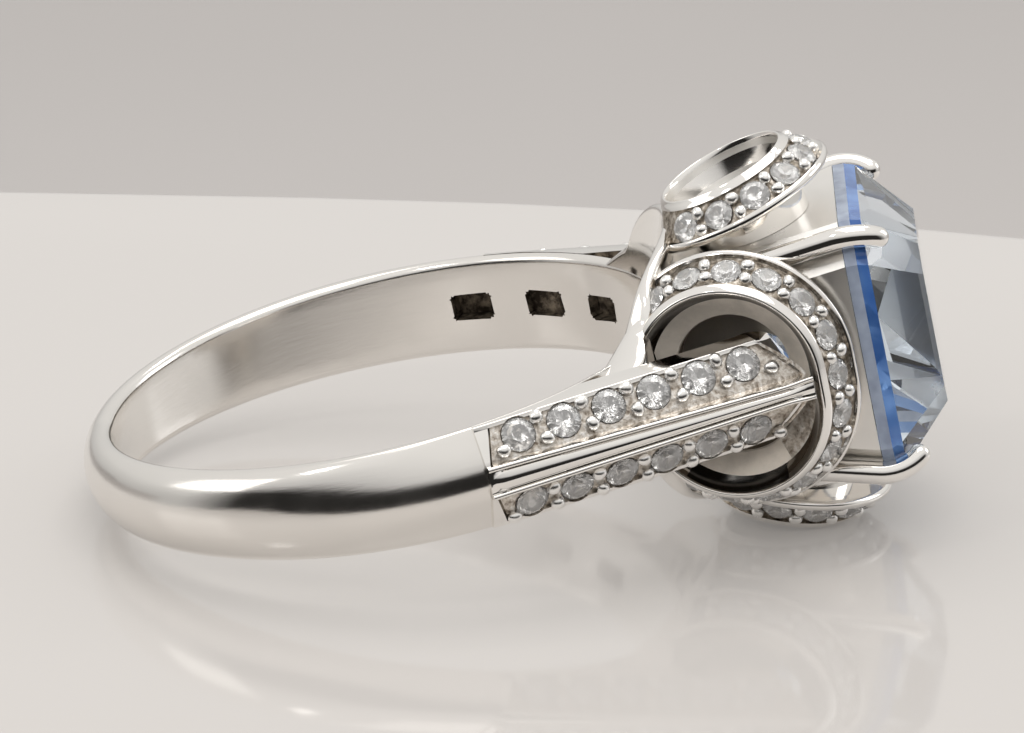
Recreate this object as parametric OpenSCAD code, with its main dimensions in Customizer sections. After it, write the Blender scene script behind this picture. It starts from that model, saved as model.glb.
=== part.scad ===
// Cocktail ring: a half-round band, two raised shoulders that run through the side loops,
// four looped ribbons under a square centre stone, four corner prongs, and set accent stones.
// Millimetres. The origin is the centre of the finger hole, +Z runs along the hole and
// +X points from the hole to the centre stone.

/* [Band] */
// Radius of the finger hole
bore_r = 8.65; // [8.2:0.05:9.2]
// Thickness of the band at the middle of its width
band_t = 1.05; // [0.95:0.05:1.3]
// Half of the band's width at the back
band_back_hw = 1.12; // [0.95:0.02:1.5]
// Half of the band's width under the head
band_head_hw = 1.7; // [1.65:0.01:1.8]
// Radius on the inner edges of the band
band_edge_r = 0.26; // [0.15:0.01:0.35]
// Length of each light window behind the shoulder stones
window_len = 1.4; // [1:0.1:1.6]
// Height of each light window
window_h = 0.85; // [0.6:0.05:1.1]

/* [Shoulders] */
// Angle from the head at which a shoulder leaves the band
shoulder_a = 70.5; // [69:0.5:72]
// Length of a shoulder
shoulder_len = 10.35; // [10.1:0.05:10.4]
// Half of a shoulder's width
shoulder_hw = 1.6; // [1.5:0.05:1.65]
// Depth of a shoulder below its spine
shoulder_depth = 1.55; // [1.4:0.05:1.6]
// Slope of the two stone rows down from the spine
roof_slope = 28; // [22:1:32]
// Radius of a shoulder stone
shoulder_stone_r = 0.55; // [0.45:0.01:0.56]
// Distance from one shoulder stone to the next
shoulder_pitch = 1.46; // [1.4:0.01:1.5]
// Number of stones in a shoulder row
shoulder_count = 6; // [3:1:6]

/* [Loops] */
// Front radius of a side loop, across
side_front_r = 2.9; // [2.8:0.05:3]
// Back radius of a side loop, across
side_back_r = 3.65; // [3.5:0.05:3.7]
// Depth of a side loop's stone band
side_depth = 1.63; // [1.5:0.01:1.7]
// Half of the straight stretch that makes a side loop taller than it is wide
side_straight = 0.43; // [0.3:0.01:0.5]
// Lean of a side loop towards the finger
side_tilt = 13.2; // [12:0.2:14]
// Front radius of an end loop
end_front_r = 2.05; // [1.95:0.05:2.15]
// Back radius of an end loop
end_back_r = 3.1; // [3:0.05:3.2]
// Depth of an end loop's stone band
end_depth = 1.2; // [1.1:0.05:1.3]
// Lean of an end loop towards the finger
end_tilt = 17.5; // [16:0.5:19]
// Radius of a loop stone
loop_stone_r = 0.49; // [0.4:0.01:0.5]
// Distance from one loop stone to the next
loop_pitch = 1.29; // [1.25:0.01:1.35]

/* [Centre stone and prongs] */
// Half of the centre stone's width
stone_hw = 4.05; // [3.95:0.05:4.1]
// Half of the table's width
table_hw = 2.55; // [2.3:0.05:2.8]
// Corner cut of the centre stone
stone_cut = 1.1; // [1:0.05:1.2]
// Height of the girdle's lower edge above the finger hole
girdle_rise = 5.95; // [5.9:0.05:6.1]
// Radius of a prong
prong_r = 0.35; // [0.3:0.01:0.4]
// Radius of a bead that holds the accent stones
bead_r = 0.19; // [0.15:0.01:0.2]

/* [Hidden] */
SIDES = ["near", "far", "upper", "lower"];
$fn = 64;

silver = "silver";
bright = "whitesmoke";
clear = "lightcyan";
blue = "lightskyblue";

big = 40;
play = 0.02;
outer_r = bore_r + band_t;

// Band section: stations round the ring, and steps round the dome and the edges.
// The inner edges start at edge_from so that they cross the finger hole's wall and don't touch it.
band_stations = 72;
dome_steps = 8;
edge_steps = 3;
edge_from = 30;
core_r = bore_r - 0.4;
core_inset = 0.4;
square_from = 68;
square_over = 25;

// Parts round the head stay this far outside the finger hole
finger_clear = 0.15;

// Light windows: [angle from the head, share of the window length], and their depth
windows = [[40.5, 0.9], [57, 1], [74.5, 1]];
window_depth = 1.1;
window_mid = 0.15;

// The shoulders are let into the band from this angle on, over a thin inner wall
inlay_from = 46.3;
inlay_wall = 0.2;
sector_h = 6;

// Shoulder panels
panel_sink = 0.12;
panel_lip = 0.14;
panel_dive = 2;
spine_hw_start = 0.52;
spine_hw_end = 0.3;
spine_rise = 0.22;
rail_w = 0.17;
groove_w = 0.07;
groove_depth = 0.12;
roof_drop = (shoulder_hw - spine_hw_start) * tan(roof_slope);
row_start = 1.3;
row_z = 1.05;
row_bead = [0.06, 0.33];
end_cut = 1.2;
end_cut_hw = 0.4;

// Depth of a stone's seat as a share of the stone's radius
shoulder_seat = 0.85;
loop_seat = 0.7;

// Loop walls: a polished funnel from the mouth to the throat, then a tube to the basket
rim_len = 0.25;
rim_chamfer = 0.06;
mouth_edge = 0.12;
funnel_wall = 0.12;
funnel_depth = 0.65;
side_throat_r = 2.42;
end_throat_r = 1.6;
side_tube_r = 1.75;
end_tube_r = 1.3;
side_tube_len = 1.2;
end_tube_len = 1.6;
tube_wall = 0.45;
back_rim_w = 0.45;
channel_sink = 0.1;
side_centre = [bore_r + 2.21, 3.5, 0];
end_centre = [bore_r + 3.05, 0, 4.42];
side_stones = 13;
end_stones = 10;
loop_bead_x = 0.24;

// Centre stone levels: [height above the girdle's lower edge, half-width, corner cut]
girdle_x = bore_r + girdle_rise;
stone_levels = [
    [-2.9, 0.35, 0.1], [-1.7, 2.4, 0.65], [0, stone_hw, stone_cut], [0.35, stone_hw, stone_cut],
    [0.68, stone_hw - 0.1, stone_cut], [2.22, table_hw, stone_cut],
];

// Basket: [x, half-width] at its foot and at its top
basket_foot = [bore_r + 0.35, 3];
basket_top = [girdle_x - play, stone_hw];
basket_cut = stone_cut;
basket_wall = 0.05;
seat_low = [girdle_x - 2.9, 1, 0.1];
side_window_r = 1.3;
end_window_r = 1.2;
window_x = bore_r + 2.75;
light_hole_r = 1.3;
light_hole_end = girdle_x - 1;

// Gallery plate, with a slot at each of four places
plate_t = 0.45;
plate_in_r = bore_r + 0.3;
plate_r = 3.75;
slot = [3, 0.35, 0.7];
slot_at = [1.6, 2.5];

// Prong centre line: it follows the basket's cut corner, then bends over the crown
corner_foot = (2 * basket_foot[1] - basket_cut) / sqrt(2);
corner_top = (2 * basket_top[1] - basket_cut) / sqrt(2);
prong_lean = atan2(corner_top - corner_foot, basket_top[0] - basket_foot[0]);
prong_foot_x = bore_r + 3;
prong_bend = [girdle_x - 0.2, corner_top + prong_r + play];
prong_bend_r = 1.35;
prong_end_a = -45;

function band_hw(a) = band_back_hw + (band_head_hw - band_back_hw) * cos(a / 2);

// The band is half round, and squarer where the shoulders stand on it
function squareness(a) = max(0, min(1, (square_from - a) / square_over));
function dome_power(a) = 1 - 0.6 * squareness(a);

// One section as [radius, height] pairs, from the lower inner edge to the upper one
function edge_arc(hw, up) = [
    for (i = [0:edge_steps])
        let (t = edge_from + (up > 0 ? edge_steps - i : i) * (90 - edge_from) / edge_steps)
        [bore_r + band_edge_r * (1 - cos(t)), up * (hw - band_edge_r + band_edge_r * sin(t))]
];
function dome(hw, p) = [
    for (i = [1:dome_steps - 1])
        let (t = -90 + 180 * i / dome_steps)
        [bore_r + band_edge_r + (band_t - band_edge_r) * pow(cos(t), p), hw * sin(t)]
];
function band_section(a) = concat(
    [[core_r, -(band_hw(a) - core_inset)]],
    edge_arc(band_hw(a), -1),
    dome(band_hw(a), dome_power(a)),
    edge_arc(band_hw(a), 1),
    [[core_r, band_hw(a) - core_inset]]
);

module band_blank() {
    sections = [
        for (i = [0:band_stations - 1])
            let (a = 360 * i / band_stations)
            [for (p = band_section(a > 180 ? 360 - a : a)) [p[0] * cos(a), p[0] * sin(a), p[1]]]
    ];
    m = len(sections[0]);
    polyhedron(
        points = [for (s = sections) for (p = s) p],
        faces = [
            for (i = [0:band_stations - 1])
                for (j = [0:m - 1])
                    let (k = (i + 1) % band_stations, l = (j + 1) % m)
                    for (f = [[i * m + j, k * m + l, k * m + j], [i * m + j, i * m + l, k * m + l]])
                        f
        ]
    );
}

module band() {
    color(silver)
    difference() {
        band_blank();
        cylinder(h = big, r = bore_r, center = true);
        for (side = ["near", "far"]) {
            light_windows(side);
            sector(side, inlay_from, shoulder_a, bore_r + inlay_wall, outer_r + 1);
        }
        rotate([0, 90, 0])
        cylinder(h = big, r = light_hole_r);
    }
}

// Three windows behind a shoulder's stones; the one nearest the head is the smallest
module light_windows(side) {
    for (w = windows)
        mirror([0, side == "near" ? 1 : 0, 0])
        rotate([0, 0, w[0]])
        translate([bore_r + window_mid, 0, 0])
        cube([window_depth, w[1] * window_len, window_h], center = true);
}

// A stretch of ring wall between two angles from the head and two radii
module sector(side, from, to, low_r, high_r) {
    mirror([0, side == "near" ? 1 : 0, 0])
    rotate([0, 0, from])
    rotate_extrude(angle = to - from)
    translate([low_r, -sector_h / 2])
    square([high_r - low_r, sector_h]);
}

// Everything that belongs to the finger hole and the band, kept clear by the parts round it
module band_zone() {
    cylinder(h = big, r = bore_r + finger_clear, center = true);
    cylinder(h = 2 * band_head_hw, r = outer_r, center = true);
}

// A four-sided taper with cut corners, along X between two [x, half-width, corner cut] levels
module square_taper(low, high) {
    along = [low[0], high[0]];
    half = [low[1], high[1]];
    corner = [(2 * low[1] - low[2]) / sqrt(2), (2 * high[1] - high[2]) / sqrt(2)];
    intersection_for(turn = [0, 45, 90, 135]) {
        reach = turn % 90 == 0 ? half : corner;
        rotate([turn, 0, 0])
        linear_extrude(height = big, center = true)
        polygon([
            [along[0], -reach[0]], [along[1], -reach[1]],
            [along[1], reach[1]], [along[0], reach[0]],
        ]);
    }
}

module centre_stone() {
    color(blue)
    translate([girdle_x, 0, 0])
    for (i = [0:len(stone_levels) - 2])
        square_taper(stone_levels[i], stone_levels[i + 1]);
}

module basket_block() {
    square_taper([basket_foot[0], basket_foot[1], basket_cut], [basket_top[0], basket_top[1], basket_cut]);
}

// Curved plate on the finger side of the head, above and below the band
module gallery_plate() {
    color(silver)
    difference() {
        intersection() {
            difference() {
                cylinder(h = big, r = plate_in_r + plate_t, center = true);
                cylinder(h = big, r = plate_in_r, center = true);
                cylinder(h = 2 * band_head_hw, r = outer_r + 1, center = true);
            }
            rotate([0, 90, 0])
            cylinder(h = big, r = plate_r);
        }
        for (sy = [-1, 1])
            for (sz = [-1, 1])
                translate([plate_in_r, sy * slot_at[0], sz * slot_at[1]])
                cube(slot, center = true);
    }
}

module basket() {
    color(silver)
    difference() {
        basket_block();
        band_zone();
        cylinder(h = big, r = plate_in_r + plate_t, center = true);
        square_taper(seat_low, [girdle_x, stone_hw - basket_wall, stone_cut]);
        translate([window_x, 0, 0]) {
            cylinder(h = big, r = end_window_r, center = true);
            rotate([90, 0, 0])
            cylinder(h = big, r = side_window_r, center = true);
        }
        rotate([0, 90, 0])
        cylinder(h = light_hole_end, r = light_hole_r);
    }
}

// A post up a corner of the basket, bent in over the crown, with a round tip
module prong(turn) {
    post = (prong_bend[0] - prong_foot_x) / cos(prong_lean);
    centre = prong_bend + prong_bend_r * [sin(prong_lean), -cos(prong_lean)];
    color(bright)
    rotate([turn, 0, 0]) {
        translate(prong_bend)
        rotate([0, 0, prong_lean])
        rotate([0, -90, 0])
        cylinder(h = post, r = prong_r, $fn = 32);
        translate(centre)
        rotate([0, 0, 90 + prong_end_a]) {
            rotate_extrude(angle = prong_lean - prong_end_a)
            translate([prong_bend_r, 0])
            circle(r = prong_r, $fn = 32);
            translate([prong_bend_r, 0, 0])
            rotate([90, 0, 0])
            rotate_extrude($fn = 32)
            intersection() {
                circle(r = prong_r, $fn = 32);
                square(prong_r);
            }
        }
    }
}

// Shoulder frame: X along the shoulder to the head, Y away from the finger
module shoulder_frame(side) {
    mirror([0, side == "near" ? 1 : 0, 0])
    translate([outer_r * cos(shoulder_a), outer_r * sin(shoulder_a), 0])
    rotate([0, 0, shoulder_a - 90])
    children();
}

// Frame of one row of stones: X along the row, Z out of the panel
module row_frame(side, up) {
    shoulder_frame(side)
    rotate([0, 0, -panel_dive])
    mirror([0, 0, up ? 0 : 1])
    translate([0, -panel_sink - (row_z - spine_hw_start) * tan(roof_slope), row_z])
    rotate([-90 + roof_slope, 0, 0])
    children();
}

module roof() {
    rotate([90, 0, 90])
    linear_extrude(height = shoulder_len)
    polygon([
        [-shoulder_depth, -shoulder_hw], [-roof_drop, -shoulder_hw], [0, -spine_hw_start],
        [0, spine_hw_start], [-roof_drop, shoulder_hw], [-shoulder_depth, shoulder_hw],
    ]);
}

module panel_cut() {
    width = (shoulder_hw - spine_hw_start) / cos(roof_slope) - panel_lip;
    rotate([0, 0, -panel_dive])
    for (s = [0, 1])
        mirror([0, 0, s])
        translate([panel_lip, 0, spine_hw_start])
        rotate([roof_slope, 0, 0])
        translate([0, -panel_sink, 0])
        cube([shoulder_len, 1, width]);
}

// Takes the upper and lower corners off the end in the loop, just past the last stones
module corner_cuts() {
    above = shoulder_hw + 1;
    back = end_cut * (above - end_cut_hw) / (shoulder_hw - end_cut_hw);
    for (s = [0, 1])
        mirror([0, 0, s])
        rotate([90, 0, 0])
        linear_extrude(height = big, center = true)
        polygon([
            [shoulder_len, end_cut_hw], [shoulder_len + 1, end_cut_hw],
            [shoulder_len + 1, above], [shoulder_len - back, above],
        ]);
}

// Stands in the band's cut-out over a thin inner wall, and on the band's outside nearer the head
module shoulder(side) {
    color(silver)
    difference() {
        shoulder_frame(side)
        difference() {
            roof();
            panel_cut();
            corner_cuts();
        }
        cylinder(h = big, r = bore_r + inlay_wall + play, center = true);
        sector(side, 0, inlay_from + 0.1, bore_r - 1, outer_r + play);
        light_windows(side);
        for (up = [false, true])
            row_frame(side, up)
            for (i = [0:shoulder_count - 1])
                translate([row_start + shoulder_pitch * i, 0, -shoulder_seat * shoulder_stone_r])
                cylinder(h = 2, r = shoulder_stone_r + play);
    }
}

module spine_plan(inset) {
    polygon([
        [0, -spine_hw_start + inset], [shoulder_len, -spine_hw_end + inset],
        [shoulder_len, spine_hw_end - inset], [0, spine_hw_start - inset],
    ]);
}

// Two outer rails and a central rib, with a groove on each side of the rib
module spine(side) {
    color(bright)
    shoulder_frame(side)
    rotate([-90, 0, 0])
    difference() {
        linear_extrude(height = spine_rise)
        spine_plan(0);
        translate([0, 0, spine_rise - groove_depth])
        linear_extrude(height = spine_rise)
        difference() {
            spine_plan(rail_w);
            spine_plan(rail_w + groove_w);
        }
    }
}

// A stand-in for a round brilliant: pavilion, girdle and flat table, as shares of its radius
module brilliant(r) {
    rotate_extrude($fn = 32)
    polygon([
        [0, -0.8 * r], [r, -0.12 * r], [r, 0], [0.58 * r, 0.3 * r], [0, 0.3 * r],
    ]);
}

module bead() {
    intersection() {
        sphere(r = bead_r, $fn = 24);
        translate([0, 0, 1])
        cube(2, center = true);
    }
}

module row_stones(side, up) {
    color(clear)
    row_frame(side, up)
    for (i = [0:shoulder_count - 1])
        translate([row_start + shoulder_pitch * i, 0, 0])
        brilliant(shoulder_stone_r);
}

// A pair of beads between neighbouring stones, one bead by the spine at each end of the row
module row_beads(side, up) {
    color(bright)
    row_frame(side, up)
    for (i = [0:shoulder_count])
        for (s = (i == 0 || i == shoulder_count) ? [1] : [-1, 1])
            translate([row_start + shoulder_pitch * (i - 0.5) + s * row_bead[0], s * row_bead[1], 0])
            bead();
}

function is_side(name) = name == "near" || name == "far";
function front_r(name) = is_side(name) ? side_front_r : end_front_r;
function back_r(name) = is_side(name) ? side_back_r : end_back_r;
function depth(name) = is_side(name) ? side_depth : end_depth;
function straight(name) = is_side(name) ? side_straight : 0;
function stone_count(name) = is_side(name) ? side_stones : end_stones;
function flare(name) = back_r(name) - front_r(name);
function slant(name) = norm([depth(name), flare(name)]);
function mouth_r(name) = front_r(name) - mouth_edge;
function throat_r(name) = is_side(name) ? side_throat_r : end_throat_r;
function tube_r(name) = is_side(name) ? side_tube_r : end_tube_r;
function tube_len(name) = is_side(name) ? side_tube_len : end_tube_len;
function rim_h(name) = rim_len * depth(name) / slant(name);
function funnel_r(name, z) =
    mouth_r(name) - (mouth_r(name) - throat_r(name)) * (depth(name) - z) / funnel_depth;
function cone_r(name, z) = front_r(name) + flare(name) * (depth(name) - z) / depth(name);

// Loop frame: Z out of the loop's mouth, X towards the centre stone, origin at the back rim.
// In a loop frame a profile's Z runs from the back rim at 0 to the front rim at the loop's depth.
module loop_frame(name) {
    if (is_side(name))
        mirror([0, name == "far" ? 1 : 0, 0])
        translate([side_centre[0], -side_centre[1], 0])
        rotate([90, 0, -side_tilt])
        children();
    else
        mirror([0, 0, name == "lower" ? 1 : 0])
        translate(end_centre)
        rotate([0, -end_tilt, 0])
        children();
}

// Sweeps a profile round a circle, or round a circle with two straight stretches
module around(half) {
    if (half > 0)
        for (s = [-1, 1]) {
            translate([0, s * half, 0])
            rotate([0, 0, 90 * s - 90])
            rotate_extrude(angle = 180)
            children();
            mirror([s > 0 ? 1 : 0, 0, 0])
            rotate([90, 0, 0])
            linear_extrude(height = 2 * half, center = true)
            children();
        }
    else
        rotate_extrude()
        children();
}

module loop_neighbours(name) {
    band_zone();
    cylinder(h = 2 * plate_r, r = plate_in_r + plate_t, center = true);
    basket_block();
    if (is_side(name))
        shoulder_frame(name)
        roof();
}

module front_rim(name) {
    d = depth(name);
    h = rim_h(name);
    color(bright)
    difference() {
        loop_frame(name)
        around(straight(name))
        polygon([
            [throat_r(name), d - funnel_depth], [throat_r(name) + funnel_wall, d - funnel_depth],
            [funnel_r(name, d - h) + funnel_wall, d - h], [cone_r(name, d - h), d - h],
            [cone_r(name, d - rim_chamfer), d - rim_chamfer], [front_r(name) - rim_chamfer, d], [mouth_r(name), d],
        ]);
        loop_neighbours(name);
    }
}

module back_rim(name) {
    h = rim_h(name);
    color(bright)
    difference() {
        loop_frame(name)
        around(straight(name))
        polygon([
            [back_r(name) - back_rim_w, 0], [back_r(name) - rim_chamfer, 0], [cone_r(name, rim_chamfer), rim_chamfer],
            [cone_r(name, h), h], [back_r(name) - back_rim_w, h],
        ]);
        loop_neighbours(name);
    }
}

module seat_positions(name) {
    n = stone_count(name);
    for (i = [0:n - 1])
        on_cone(name, (i - (n - 1) / 2) * loop_pitch)
        children();
}

// Frame on the stone band at a distance along it: Z out of the band, X towards the back rim
module on_cone(name, s) {
    mid_z = depth(name) / 2;
    mid_r = cone_r(name, mid_z);
    half = straight(name);
    turn = abs(s) > half ? sign(s) * (abs(s) - half) / mid_r * 180 / PI : 0;
    shift = abs(s) > half ? sign(s) * half : s;
    translate([mid_r * cos(turn), mid_r * sin(turn) + shift, mid_z])
    rotate([0, 0, turn])
    rotate([0, atan2(depth(name), flare(name)), 0])
    translate([0, 0, -channel_sink])
    children();
}

module loop(name) {
    d = depth(name);
    h = rim_h(name);
    sink = channel_sink * slant(name) / d;
    color(silver)
    difference() {
        loop_frame(name)
        difference() {
            around(straight(name))
            polygon([
                [tube_r(name), -tube_len(name)], [tube_r(name) + tube_wall, -tube_len(name)],
                [throat_r(name) + tube_wall, 0], [back_r(name) - back_rim_w, 0], [back_r(name) - back_rim_w, h],
                [cone_r(name, h) - sink, h], [cone_r(name, d - h) - sink, d - h],
                [funnel_r(name, d - h) + funnel_wall, d - h], [throat_r(name) + funnel_wall, d - funnel_depth],
                [throat_r(name), d - funnel_depth], [tube_r(name), d - 2 * funnel_depth],
            ]);
            seat_positions(name)
            translate([0, 0, -loop_seat * loop_stone_r])
            cylinder(h = 2, r = loop_stone_r + play, $fn = 32);
        }
        loop_neighbours(name);
    }
}

module loop_stones(name) {
    color(clear)
    loop_frame(name)
    seat_positions(name)
    brilliant(loop_stone_r);
}

module loop_beads(name) {
    n = stone_count(name);
    color(bright)
    loop_frame(name)
    for (i = [1:n - 1])
        on_cone(name, (i - n / 2) * loop_pitch)
        for (s = [-1, 1])
            translate([s * loop_bead_x, 0, 0])
            bead();
}

band();
gallery_plate();
basket();
centre_stone();
for (side = ["near", "far"]) {
    shoulder(side);
    spine(side);
    for (row = ["top", "bottom"]) {
        row_stones(side, row == "top");
        row_beads(side, row == "top");
    }
    prong(side == "near" ? 135 : 45);
    prong(side == "near" ? 225 : 315);
}
for (name = SIDES) {
    loop(name);
    front_rim(name);
    back_rim(name);
    loop_stones(name);
    loop_beads(name);
}
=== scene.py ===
"""Cocktail ring: the looks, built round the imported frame.

Lengths are in millimetres until a mesh is made. The origin is the centre of the finger hole, +Z runs
along the hole and +X points at the centre stone. "Near" is the -Y side and "upper" the +Z end.
"""

import math

import bmesh
import bpy
from mathutils import Matrix, Vector


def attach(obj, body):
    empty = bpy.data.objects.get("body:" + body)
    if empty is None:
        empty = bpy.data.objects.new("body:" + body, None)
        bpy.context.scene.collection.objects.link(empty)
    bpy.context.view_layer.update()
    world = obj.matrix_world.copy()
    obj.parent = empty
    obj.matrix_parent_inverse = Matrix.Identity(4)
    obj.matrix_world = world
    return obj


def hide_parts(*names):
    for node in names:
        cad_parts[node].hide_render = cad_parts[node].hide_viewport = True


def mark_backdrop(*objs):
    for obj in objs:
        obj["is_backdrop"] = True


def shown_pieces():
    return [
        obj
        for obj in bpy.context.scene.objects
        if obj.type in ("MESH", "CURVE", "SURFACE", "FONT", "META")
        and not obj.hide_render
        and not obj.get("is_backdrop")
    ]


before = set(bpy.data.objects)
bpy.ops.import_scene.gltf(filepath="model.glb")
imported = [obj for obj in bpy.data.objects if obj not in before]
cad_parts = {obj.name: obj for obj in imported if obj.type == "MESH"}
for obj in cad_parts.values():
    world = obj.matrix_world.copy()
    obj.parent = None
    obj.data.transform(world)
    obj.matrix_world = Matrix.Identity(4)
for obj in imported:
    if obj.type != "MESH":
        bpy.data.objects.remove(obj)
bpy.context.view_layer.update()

MM = 0.001
PI = math.pi

# the CAD's driving sizes: finger hole and band
BORE_R, OUTER_R = 8.65, 9.7
BAND_EDGE, BAND_HEIGHT = 0.26, 0.79
LIGHT_HOLE_R = 1.3
WINDOW_ANGLES = ((40.5, 0.9), (57, 1), (74.5, 1))
# shoulders: angle round the band where they start, length, half width, slope of the roof, dive to the head
SHOULDER_A, SHOULDER_LEN, SHOULDER_HW = 70.5, 10.35, 1.6
ROOF = math.tan(math.radians(28))
DIVE = math.radians(2)
LIP, PANEL_DEPTH = 0.12, 0.14
SPINE_HW = (0.52, 0.3)
STONE_R, PITCH, ROW_START, ROW_Z, ROWS = 0.55, 1.46, 1.3, 1.05, 6
ROW_BEAD_R, LOOP_BEAD_R = 0.225, 0.21
# loops: centre of the back rim, tilt, radii of both rims, depth, half of the straight stretch, stones
SIDE_LOOP = dict(c=(10.86, -3.5, 0), tilt=13.2, front=2.9, back=3.65, depth=1.63, half=0.43, n=13)
END_LOOP = dict(c=(11.7, 0, 4.42), tilt=17.5, front=2.05, back=3.1, depth=1.2, half=0, n=10)
# inside a loop: throat and tube radii, tube length, depth of the dish, radius of the front lip
SIDE_LOOP.update(throat=2.42, tube=1.75, tube_len=1.2, dish=0.62, lip=0.07)
END_LOOP.update(throat=1.5, tube=1.3, tube_len=1.6, dish=1.5, lip=0.05)
LOOPS = {"near": SIDE_LOOP, "far": SIDE_LOOP, "upper": END_LOOP, "lower": END_LOOP}
LOOP_STONE_R, LOOP_PITCH = 0.49, 1.29
RIM_W, CHANNEL_DEPTH = 0.27, 0.1
# centre stone and basket: the girdle's place, half widths, cut corners
GIRDLE_X, STONE_HW, STONE_CUT, TABLE_HW = 14.6, 4.05, 1.1, 2.55
BASKET_FOOT_X, BASKET_FOOT_HW, BASKET_TOP_X = 9.0, 3.0, 14.58
PRONG_R, PRONG_BEND_X, PRONG_BEND_R = 0.35, 14.4, 1.35
# the table under the ring, which lies on its lower loop and the back of its band
TABLE_TILT = math.radians(11.378)
UP = Vector((math.sin(TABLE_TILT), 0, math.cos(TABLE_TILT)))


def sstep(lo, hi, v):
    """Smooth step from 0 at lo to 1 at hi."""
    t = min(1.0, max(0.0, (v - lo) / (hi - lo)))
    return t * t * (3 - 2 * t)


# ---------------------------------------------------------------- materials
def tree(name):
    """A new material, its node tree and its shader."""
    m = bpy.data.materials.new(name)
    m.use_nodes = True
    t = m.node_tree
    return m, t, t.nodes["Principled BSDF"]


def node(t, kind, **values):
    """A new node with its inputs or properties set."""
    n = t.nodes.new(kind)
    for k, v in values.items():
        if k in n.inputs:
            n.inputs[k].default_value = v
        else:
            setattr(n, k, v)
    return n


def noise(t, scale, detail=4.0, rough=0.55, stretch=None):
    """A noise field in the object's own space."""
    c = node(t, "ShaderNodeTexCoord")
    n = node(t, "ShaderNodeTexNoise", Scale=scale, Detail=detail, Roughness=rough)
    if stretch:
        m = node(t, "ShaderNodeMapping", Scale=stretch)
        t.links.new(c.outputs["Object"], m.inputs["Vector"])
        t.links.new(m.outputs["Vector"], n.inputs["Vector"])
    else:
        t.links.new(c.outputs["Object"], n.inputs["Vector"])
    return n


def ramp(t, source, stops):
    """A ramp through (position, grey or colour) stops."""
    r = node(t, "ShaderNodeValToRGB")
    while len(r.color_ramp.elements) < len(stops):
        r.color_ramp.elements.new(0.5)
    for e, (p, c) in zip(r.color_ramp.elements, stops):
        e.position = p
        e.color = (c, c, c, 1) if isinstance(c, float) else (*c, 1)
    t.links.new(source, r.inputs["Fac"])
    return r


def drive(t, shader, socket, field, stops):
    """Sets one input of a shader from a noise field through a ramp."""
    t.links.new(ramp(t, field.outputs["Fac"], stops).outputs["Color"], shader.inputs[socket])


def bump(t, shader, height, strength, distance):
    b = node(t, "ShaderNodeBump", Strength=strength, Distance=distance)
    t.links.new(height, b.inputs["Height"])
    t.links.new(b.outputs["Normal"], shader.inputs["Normal"])


def polished(name="silver_polished", tint=(0.93, 0.905, 0.87), rough=(0.05, 0.14), wear=0.06):
    """Worn polish: fine scratches, faint smears in the roughness, a slight warm tint."""
    m, t, s = tree(name)
    s.inputs["Metallic"].default_value = 1.0
    smear = noise(t, 420, 5, 0.6)
    drive(t, s, "Roughness", smear, [(0.3, rough[0]), (0.75, rough[1])])
    shade = noise(t, 160, 3)
    low = tuple(c * 0.93 for c in tint)
    drive(t, s, "Base Color", shade, [(0.3, low), (0.7, tint)])
    scratch = noise(t, 900, 6, 0.7, (1, 1, 7))
    bump(t, s, scratch.outputs["Fac"], wear, 0.00002)
    return m


def cast(name, *stops):
    """The pave floor: bright grains between darker pits."""
    m, t, s = tree(name)
    s.inputs["Metallic"].default_value = 1.0
    grain = noise(t, 5200, 5, 0.65)
    drive(t, s, "Base Color", grain, stops)
    drive(t, s, "Roughness", grain, [(0.3, 0.5), (0.7, 0.26)])
    bump(t, s, grain.outputs["Fac"], 0.6, 0.00006)
    return m


def satin(name, tint, metal):
    """Unpolished inner walls, warm and matte, with cloudy tarnish."""
    m, t, s = tree(name)
    s.inputs["Metallic"].default_value = metal
    cloud = noise(t, 900, 6, 0.6)
    dark = tuple(c * 0.72 for c in tint)
    drive(t, s, "Base Color", cloud, [(0.3, dark), (0.62, tint)])
    drive(t, s, "Roughness", cloud, [(0.3, 0.55), (0.7, 0.4)])
    grit = noise(t, 7000, 3, 0.6)
    bump(t, s, grit.outputs["Fac"], 0.25, 0.00004)
    return m


def recess(name="silver_recess"):
    """Oxidised metal at the bottom of the light windows; on the first strip of the shoulder panels it is a
    painted shadow.
    """
    m, t, s = tree(name)
    s.inputs["Metallic"].default_value = 0.7
    s.inputs["Roughness"].default_value = 0.55
    mottle = noise(t, 2600, 5, 0.65)
    drive(t, s, "Base Color", mottle, [(0.42, (0.035, 0.025, 0.017)), (0.66, (0.30, 0.25, 0.19))])
    bump(t, s, mottle.outputs["Fac"], 0.6, 0.00008)
    return m


def gem(name, tint, ior, cloud_scale, deep, clear=1.0, rough=0.0):
    """Clear cut stone with a faint inner haze in its colour."""
    m, t, s = tree(name)
    s.inputs["Transmission Weight"].default_value = clear
    s.inputs["IOR"].default_value = ior
    s.inputs["Roughness"].default_value = rough
    haze = noise(t, cloud_scale, 2)
    drive(t, s, "Base Color", haze, [(0.35, deep), (0.65, tint)])
    return m


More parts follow.
